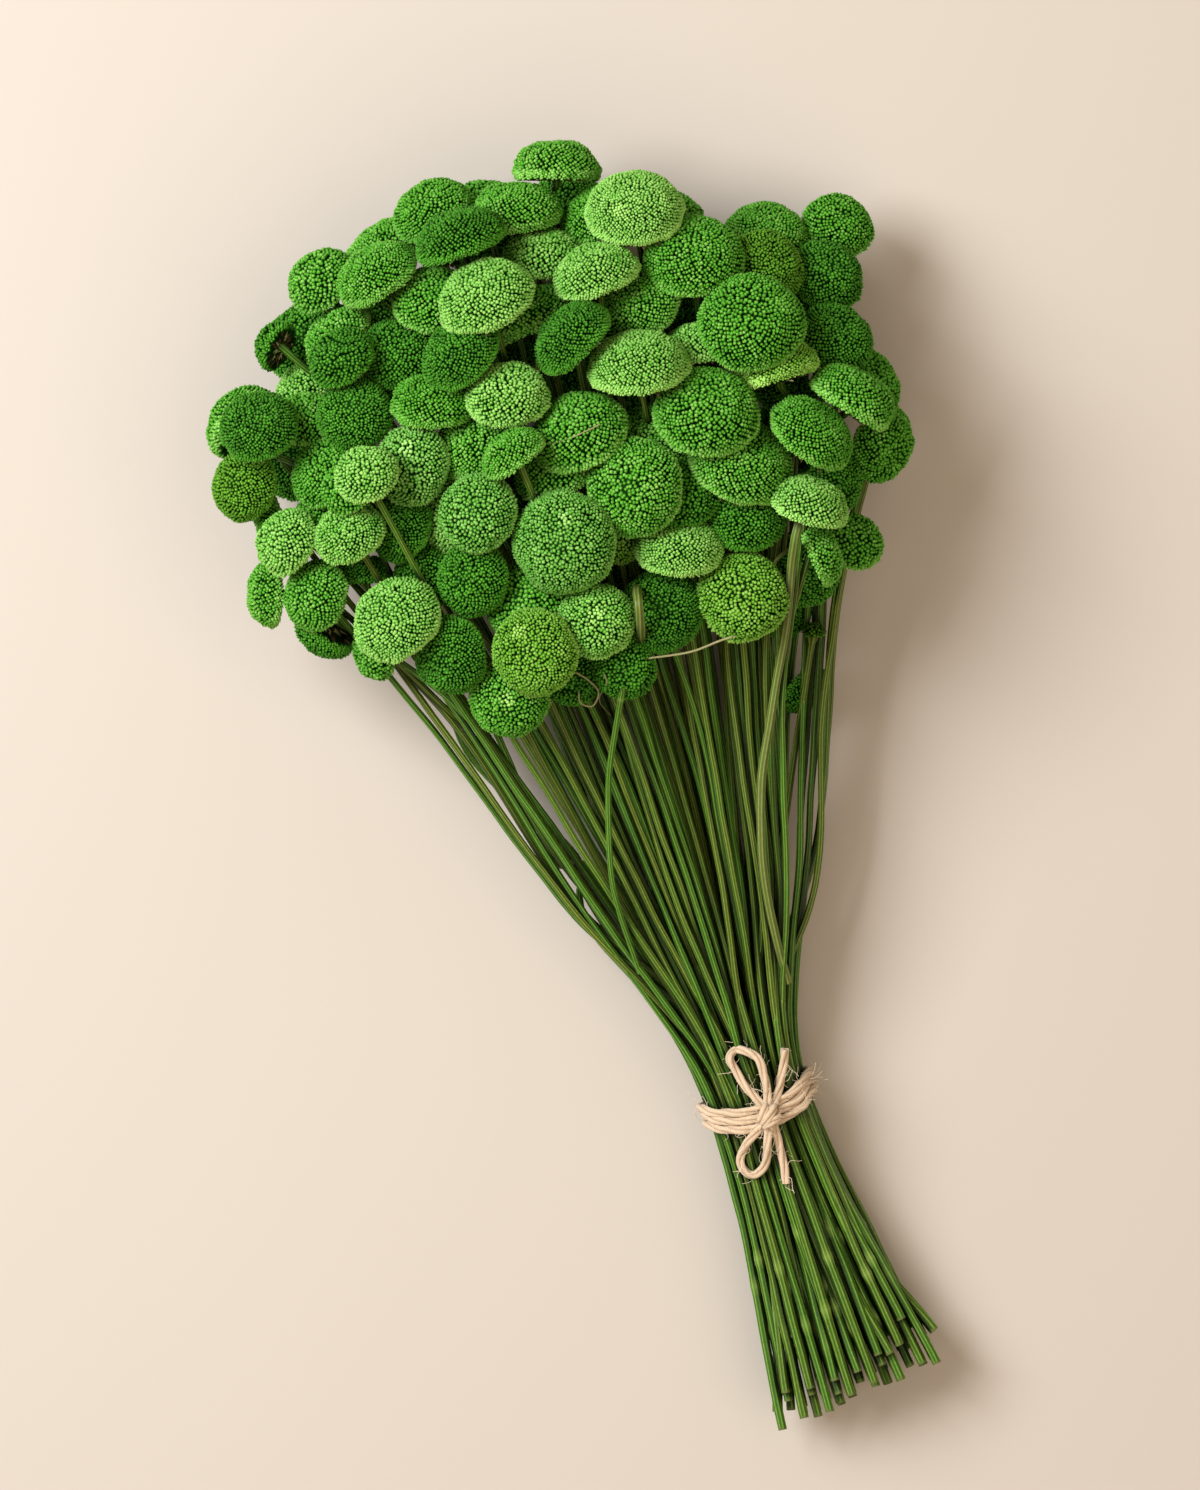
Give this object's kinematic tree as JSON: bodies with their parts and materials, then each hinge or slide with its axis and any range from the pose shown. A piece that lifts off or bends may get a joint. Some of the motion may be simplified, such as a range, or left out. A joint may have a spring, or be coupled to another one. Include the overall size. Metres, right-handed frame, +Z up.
{
  "type": "tied bunch of dried billy button flowers",
  "caption": "Tied bunch of dried, green-dyed button flowers lying on its side: round floret heads on thin bare stems, fanned out from a jute twine wrap with a small bow.",
  "frame": {"origin": "middle of the bunch's bounding box, at the surface it lies on", "axes": "+Y along the bunch towards the flower heads, +X across it, +Z up off the surface"},
  "size_m": [0.2258, 0.4, 0.0944],
  "materials": {
    "dyed_flower": "matte, dry and velvety dyed florets on grassy stems",
    "jute": "matte twisted jute with loose fibres"
  },
  "bodies": {
    "root": {"flowers_01": "dyed_flower", "flowers_02": "dyed_flower", "flowers_03": "dyed_flower", "flowers_04": "dyed_flower", "flowers_05": "dyed_flower", "flowers_06": "dyed_flower", "flowers_07": "dyed_flower", "flowers_08": "dyed_flower", "flowers_09": "dyed_flower", "flowers_10": "dyed_flower", "flowers_11": "dyed_flower", "flowers_12": "dyed_flower", "flowers_13": "dyed_flower", "flowers_14": "dyed_flower", "flowers_15": "dyed_flower", "flowers_16": "dyed_flower", "flowers_17": "dyed_flower", "flowers_18": "dyed_flower", "flowers_19": "dyed_flower", "flowers_20": "dyed_flower", "flowers_21": "dyed_flower", "flowers_22": "dyed_flower", "flowers_23": "dyed_flower", "flowers_24": "dyed_flower", "flowers_25": "dyed_flower", "flowers_26": "dyed_flower", "flowers_27": "dyed_flower", "flowers_28": "dyed_flower", "flowers_29": "dyed_flower", "flowers_30": "dyed_flower", "flowers_31": "dyed_flower", "flowers_32": "dyed_flower", "flowers_33": "dyed_flower", "flowers_34": "dyed_flower", "flowers_35": "dyed_flower", "flowers_36": "dyed_flower", "flowers_37": "dyed_flower", "flowers_38": "dyed_flower", "flowers_39": "dyed_flower", "flowers_40": "dyed_flower", "flowers_41": "dyed_flower", "flowers_42": "dyed_flower", "flowers_43": "dyed_flower", "flowers_44": "dyed_flower", "flowers_45": "dyed_flower", "flowers_46": "dyed_flower", "flowers_47": "dyed_flower", "flowers_48": "dyed_flower", "flowers_49": "dyed_flower", "flowers_50": "dyed_flower", "flowers_51": "dyed_flower", "flowers_52": "dyed_flower", "flowers_53": "dyed_flower", "flowers_54": "dyed_flower", "twine_tie": "jute"}
  },
  "joints": []
}
